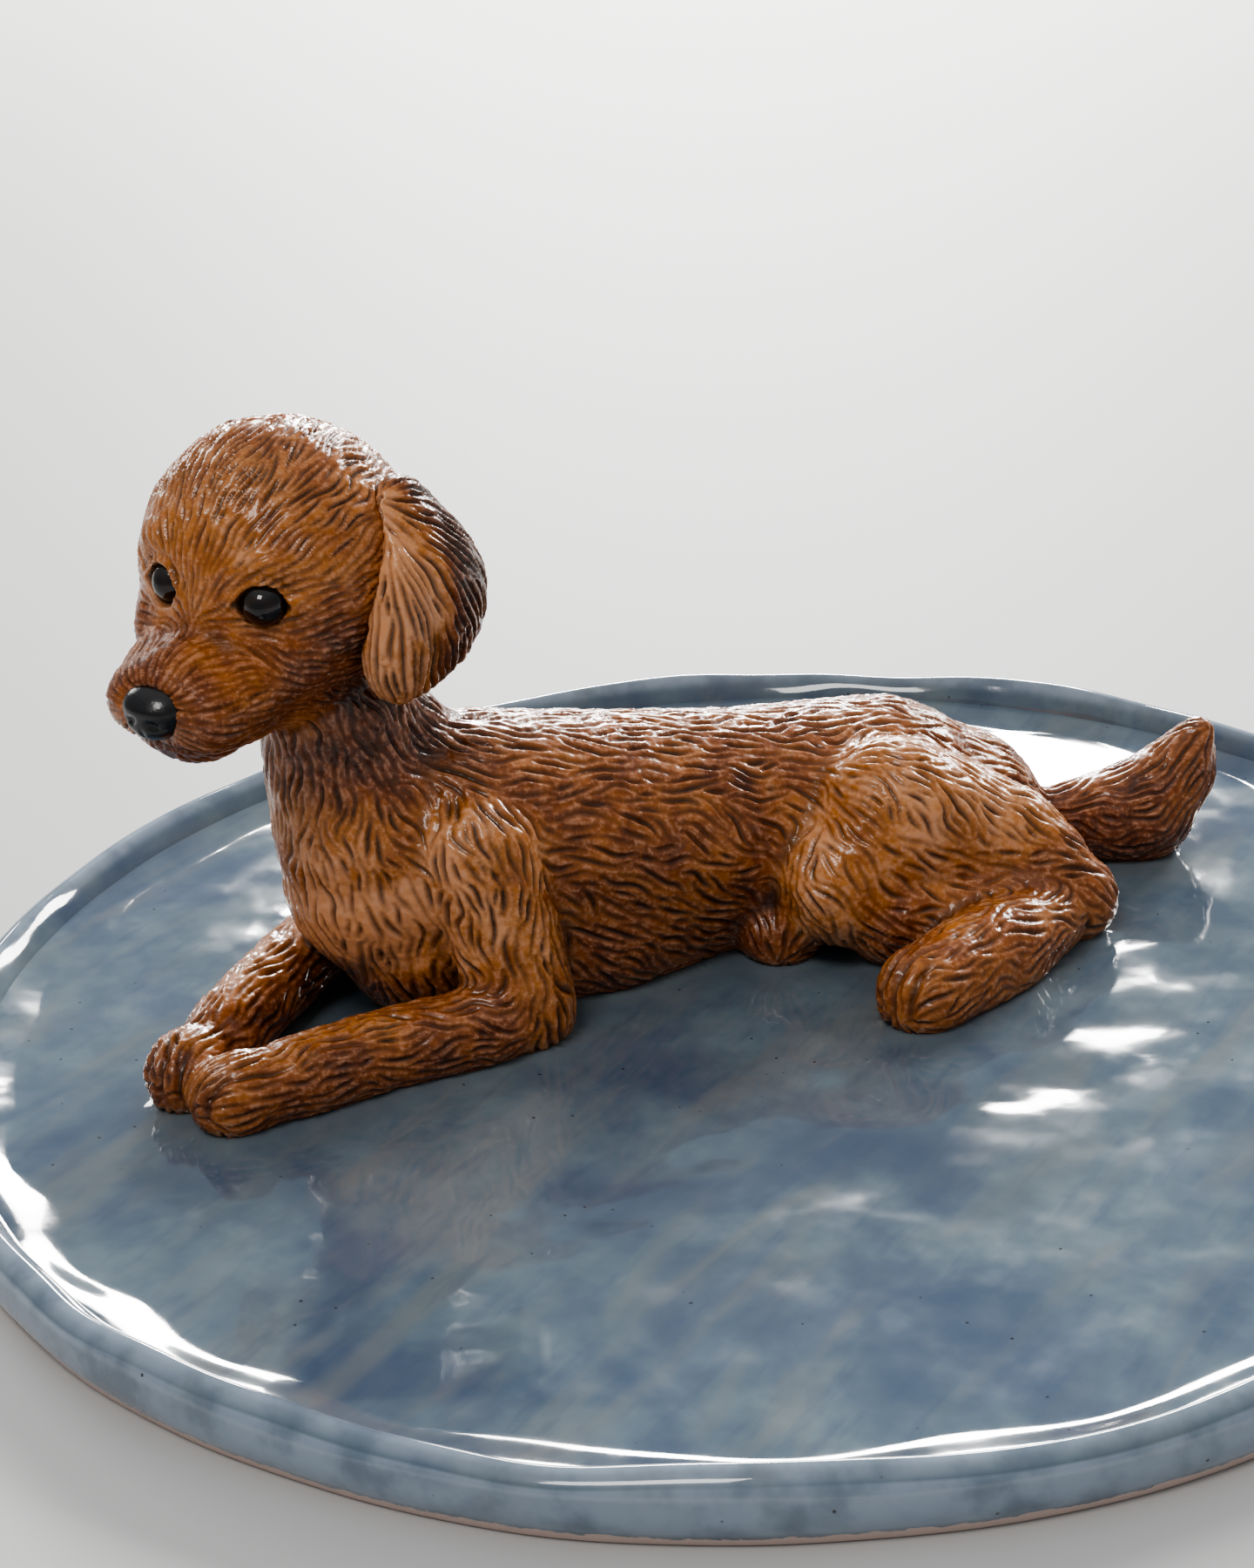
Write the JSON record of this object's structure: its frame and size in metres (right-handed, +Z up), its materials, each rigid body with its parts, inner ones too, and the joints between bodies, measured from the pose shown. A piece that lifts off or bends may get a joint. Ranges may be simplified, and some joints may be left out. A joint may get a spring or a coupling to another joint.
{
  "type": "ceramic dog figurine",
  "caption": "Lying dog figurine of brown glazed ceramic, luted to a round blue glazed dish with a low rolled rim.",
  "frame": {"origin": "centre of the dish's outline, on the surface that the dish stands on", "axes": "+Z up; the dog's body points along -Y from tail to chest; +X is to the dog's left, where its feet lie"},
  "size_m": [0.181, 0.179, 0.0711],
  "materials": {
    "blue_glaze": "glossy mottled slate-blue glaze with cream streaks",
    "blue_glaze_rim": "glossy blue glaze over a rolled clay rim, bare clay at its foot",
    "brown_fur": "glossy burnt-sienna glaze over incised fur, dark in the grooves",
    "pale_fur": "glossy ochre-brown glaze over fine incised fur",
    "dark_fur": "glossy umber glaze",
    "paw_fur": "glossy sienna glaze with orange highlights on the toes",
    "black_glaze": "black gloss glaze",
    "eye_glaze": "black high-gloss glaze with a dark brown iris ring"
  },
  "bodies": {
    "root": {"dish_slab": "blue_glaze", "dish_rim": "blue_glaze_rim", "torso": "brown_fur", "neck": "brown_fur", "head": "brown_fur", "muzzle": "pale_fur", "chin": "dark_fur", "nose": "black_glaze", "eye_left": "eye_glaze", "eye_right": "eye_glaze", "ear_left": "brown_fur", "ear_right": "brown_fur", "upper_arm_left": "brown_fur", "upper_arm_right": "brown_fur", "forearm_left": "brown_fur", "forearm_right": "brown_fur", "fore_paw_left": "paw_fur", "fore_paw_right": "paw_fur", "thigh_left": "brown_fur", "thigh_right": "brown_fur", "shank_left": "brown_fur", "hind_foot_left": "paw_fur", "hind_paw_right": "paw_fur", "tail": "brown_fur"}
  },
  "joints": []
}
